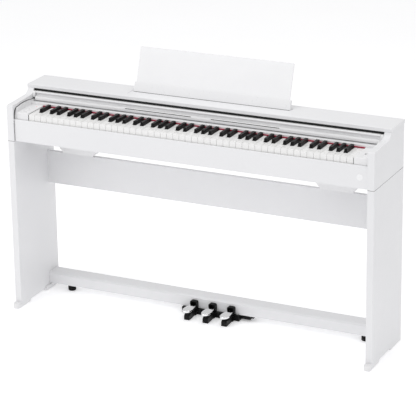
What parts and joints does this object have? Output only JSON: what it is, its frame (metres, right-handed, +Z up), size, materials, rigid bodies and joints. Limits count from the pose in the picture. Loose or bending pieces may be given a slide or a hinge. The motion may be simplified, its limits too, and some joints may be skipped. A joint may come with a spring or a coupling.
{
  "type": "digital piano on stand",
  "caption": "Slim white upright-style digital piano: full-length keyboard with sliding cover, music desk and pedals, on a panel stand with a back board and foot bar.",
  "frame": {"origin": "on the floor, at the middle of the footprint: halfway between the two side panels, and halfway between the front foot caps and the rear edge of the top board", "axes": "+X to the player's right, towards the high notes; -Y towards the player; +Z up"},
  "size_m": [1.386, 0.299, 0.9523],
  "materials": {
    "white_board": "satin white foil on board",
    "white_plastic": "satin moulded white",
    "desk_white": "semi-gloss white",
    "key_white": "semi-gloss key white",
    "key_black": "satin black, fine grain",
    "felt_red": "crimson felt",
    "felt_black": "black felt",
    "black_plastic": "textured black",
    "chrome": "polished chrome",
    "steel": "zinc-plated steel",
    "board_green": "solder-masked circuit board",
    "lamp_red": "clear red lens",
    "badge_grey": "pale grey disc"
  },
  "bodies": {
    "root": {"stand_side_left": "white_board", "stand_side_right": "white_board", "back_panel": "white_board", "crossbar": "white_board", "feet": "white_plastic", "stand_brackets": "steel", "stand_screws": "steel", "pedal_base": "black_plastic", "pedal_hoods": "black_plastic", "pedal_shaft": "steel", "case_side_left": "white_board", "case_side_right": "white_board", "top_board": "white_board", "front_rail": "white_board", "bottom_board": "white_board", "case_rear_panel": "white_board", "cheek_left": "white_plastic", "cheek_right": "white_plastic", "rear_strip": "white_plastic", "key_felt": "felt_red", "slot_seal": "felt_black", "badge": "badge_grey", "speaker_pods": "white_plastic", "speaker_drivers": "black_plastic", "main_board": "board_green", "key_chassis": "steel", "key_sensor_board": "board_green", "terminal_box": "black_plastic", "headphone_box": "black_plastic", "power_led": "lamp_red"},
    "key_cover": {"key_cover": "white_plastic"},
    "music_stand": {"music_plate": "desk_white", "music_base": "desk_white"},
    "leveler_left": {"leveler_left": "black_plastic"},
    "leveler_right": {"leveler_right": "black_plastic"},
    "pedal_soft": {"pedal_soft": "chrome"},
    "pedal_sostenuto": {"pedal_sostenuto": "chrome"},
    "pedal_damper": {"pedal_damper": "chrome"},
    "power_button": {"power_button": "white_plastic"},
    "function_button": {"function_button": "white_plastic"},
    "volume_slider": {"volume_slider": "white_plastic"},
    "key_middle_c": {"key_middle_c": "key_white"},
    "key_middle_cs": {"key_middle_cs": "key_black"},
    "key_middle_d": {"key_middle_d": "key_white"},
    "key_middle_ds": {"key_middle_ds": "key_black"},
    "key_middle_e": {"key_middle_e": "key_white"},
    "key_middle_f": {"key_middle_f": "key_white"},
    "key_middle_fs": {"key_middle_fs": "key_black"},
    "key_middle_g": {"key_middle_g": "key_white"},
    "key_middle_gs": {"key_middle_gs": "key_black"},
    "key_middle_a": {"key_middle_a": "key_white"},
    "key_middle_as": {"key_middle_as": "key_black"},
    "key_middle_b": {"key_middle_b": "key_white"},
    "keys_c_f": {"keys_c_f": "key_white"},
    "keys_d_g": {"keys_d_g": "key_white"},
    "keys_e_a": {"keys_e_a": "key_white"},
    "keys_b": {"keys_b": "key_white"},
    "keys_cs_gs": {"keys_cs_gs": "key_black"},
    "keys_ds_as": {"keys_ds_as": "key_black"},
    "keys_fs": {"keys_fs": "key_black"}
  },
  "joints": [
    {"name": "key_cover_slide", "type": "slide", "parent": "root", "child": "key_cover", "axis": [0, -1, 0], "range_m": [0, 0.114]},
    {"name": "music_stand_lift", "type": "slide", "parent": "root", "child": "music_stand", "axis": [0, 0.3173, 0.9483], "range_m": [0, 0.06]},
    {"name": "leveler_left_turn", "type": "hinge", "parent": "root", "child": "leveler_left", "pos_m": [-0.581, 0.097, 0.01], "axis": [0, 0, 1], "continuous": true},
    {"name": "leveler_right_turn", "type": "hinge", "parent": "root", "child": "leveler_right", "pos_m": [0.581, 0.097, 0.01], "axis": [0, 0, 1], "continuous": true},
    {"name": "pedal_soft_hinge", "type": "hinge", "parent": "root", "child": "pedal_soft", "pos_m": [-0.066, 0.125, 0.016], "axis": [1, 0, 0], "range_deg": [0, 5.5], "stiffness_Nm_per_rad": 8, "springref_deg": -8.59},
    {"name": "pedal_sostenuto_hinge", "type": "hinge", "parent": "root", "child": "pedal_sostenuto", "pos_m": [0.007, 0.125, 0.016], "axis": [1, 0, 0], "range_deg": [0, 5.5], "stiffness_Nm_per_rad": 8, "springref_deg": -8.59},
    {"name": "pedal_damper_hinge", "type": "hinge", "parent": "root", "child": "pedal_damper", "pos_m": [0.08, 0.125, 0.016], "axis": [1, 0, 0], "range_deg": [0, 5.5], "stiffness_Nm_per_rad": 8, "springref_deg": -8.59},
    {"name": "power_button_press", "type": "slide", "parent": "root", "child": "power_button", "axis": [0, 0, -1], "range_m": [0, 0.0012], "stiffness_N_per_m": 400, "springref_m": -0.002},
    {"name": "function_button_press", "type": "slide", "parent": "root", "child": "function_button", "axis": [0, 0, -1], "range_m": [0, 0.0012], "stiffness_N_per_m": 400, "springref_m": -0.002},
    {"name": "volume_slider_travel", "type": "slide", "parent": "root", "child": "volume_slider", "axis": [0, 1, 0], "range_m": [-0.009, 0.009]},
    {"name": "key_middle_c_hinge", "type": "hinge", "parent": "root", "child": "key_middle_c", "pos_m": [0, 0.098, 0.72], "axis": [1, 0, 0], "range_deg": [0, 2.7], "stiffness_Nm_per_rad": 1, "springref_deg": -11.46},
    {"name": "key_middle_cs_hinge", "type": "hinge", "parent": "root", "child": "key_middle_cs", "pos_m": [0, 0.098, 0.72], "axis": [1, 0, 0], "range_deg": [0, 2.7], "stiffness_Nm_per_rad": 1, "springref_deg": -11.46},
    {"name": "key_middle_d_hinge", "type": "hinge", "parent": "root", "child": "key_middle_d", "pos_m": [0, 0.098, 0.72], "axis": [1, 0, 0], "range_deg": [0, 2.7], "stiffness_Nm_per_rad": 1, "springref_deg": -11.46},
    {"name": "key_middle_ds_hinge", "type": "hinge", "parent": "root", "child": "key_middle_ds", "pos_m": [0, 0.098, 0.72], "axis": [1, 0, 0], "range_deg": [0, 2.7], "stiffness_Nm_per_rad": 1, "springref_deg": -11.46},
    {"name": "key_middle_e_hinge", "type": "hinge", "parent": "root", "child": "key_middle_e", "pos_m": [0, 0.098, 0.72], "axis": [1, 0, 0], "range_deg": [0, 2.7], "stiffness_Nm_per_rad": 1, "springref_deg": -11.46},
    {"name": "key_middle_f_hinge", "type": "hinge", "parent": "root", "child": "key_middle_f", "pos_m": [0, 0.098, 0.72], "axis": [1, 0, 0], "range_deg": [0, 2.7], "stiffness_Nm_per_rad": 1, "springref_deg": -11.46},
    {"name": "key_middle_fs_hinge", "type": "hinge", "parent": "root", "child": "key_middle_fs", "pos_m": [0, 0.098, 0.72], "axis": [1, 0, 0], "range_deg": [0, 2.7], "stiffness_Nm_per_rad": 1, "springref_deg": -11.46},
    {"name": "key_middle_g_hinge", "type": "hinge", "parent": "root", "child": "key_middle_g", "pos_m": [0, 0.098, 0.72], "axis": [1, 0, 0], "range_deg": [0, 2.7], "stiffness_Nm_per_rad": 1, "springref_deg": -11.46},
    {"name": "key_middle_gs_hinge", "type": "hinge", "parent": "root", "child": "key_middle_gs", "pos_m": [0, 0.098, 0.72], "axis": [1, 0, 0], "range_deg": [0, 2.7], "stiffness_Nm_per_rad": 1, "springref_deg": -11.46},
    {"name": "key_middle_a_hinge", "type": "hinge", "parent": "root", "child": "key_middle_a", "pos_m": [0, 0.098, 0.72], "axis": [1, 0, 0], "range_deg": [0, 2.7], "stiffness_Nm_per_rad": 1, "springref_deg": -11.46},
    {"name": "key_middle_as_hinge", "type": "hinge", "parent": "root", "child": "key_middle_as", "pos_m": [0, 0.098, 0.72], "axis": [1, 0, 0], "range_deg": [0, 2.7], "stiffness_Nm_per_rad": 1, "springref_deg": -11.46},
    {"name": "key_middle_b_hinge", "type": "hinge", "parent": "root", "child": "key_middle_b", "pos_m": [0, 0.098, 0.72], "axis": [1, 0, 0], "range_deg": [0, 2.7], "stiffness_Nm_per_rad": 1, "springref_deg": -11.46},
    {"name": "keys_c_f_hinge", "type": "hinge", "parent": "root", "child": "keys_c_f", "pos_m": [0, 0.098, 0.72], "axis": [1, 0, 0], "range_deg": [0, 2.7], "stiffness_Nm_per_rad": 13, "springref_deg": -11.46},
    {"name": "keys_d_g_hinge", "type": "hinge", "parent": "root", "child": "keys_d_g", "pos_m": [0, 0.098, 0.72], "axis": [1, 0, 0], "range_deg": [0, 2.7], "stiffness_Nm_per_rad": 12, "springref_deg": -11.46},
    {"name": "keys_e_a_hinge", "type": "hinge", "parent": "root", "child": "keys_e_a", "pos_m": [0, 0.098, 0.72], "axis": [1, 0, 0], "range_deg": [0, 2.7], "stiffness_Nm_per_rad": 13, "springref_deg": -11.46},
    {"name": "keys_b_hinge", "type": "hinge", "parent": "root", "child": "keys_b", "pos_m": [0, 0.098, 0.72], "axis": [1, 0, 0], "range_deg": [0, 2.7], "stiffness_Nm_per_rad": 7, "springref_deg": -11.46},
    {"name": "keys_cs_gs_hinge", "type": "hinge", "parent": "root", "child": "keys_cs_gs", "pos_m": [0, 0.098, 0.72], "axis": [1, 0, 0], "range_deg": [0, 2.7], "stiffness_Nm_per_rad": 12, "springref_deg": -11.46},
    {"name": "keys_ds_as_hinge", "type": "hinge", "parent": "root", "child": "keys_ds_as", "pos_m": [0, 0.098, 0.72], "axis": [1, 0, 0], "range_deg": [0, 2.7], "stiffness_Nm_per_rad": 13, "springref_deg": -11.46},
    {"name": "keys_fs_hinge", "type": "hinge", "parent": "root", "child": "keys_fs", "pos_m": [0, 0.098, 0.72], "axis": [1, 0, 0], "range_deg": [0, 2.7], "stiffness_Nm_per_rad": 6, "springref_deg": -11.46}
  ]
}
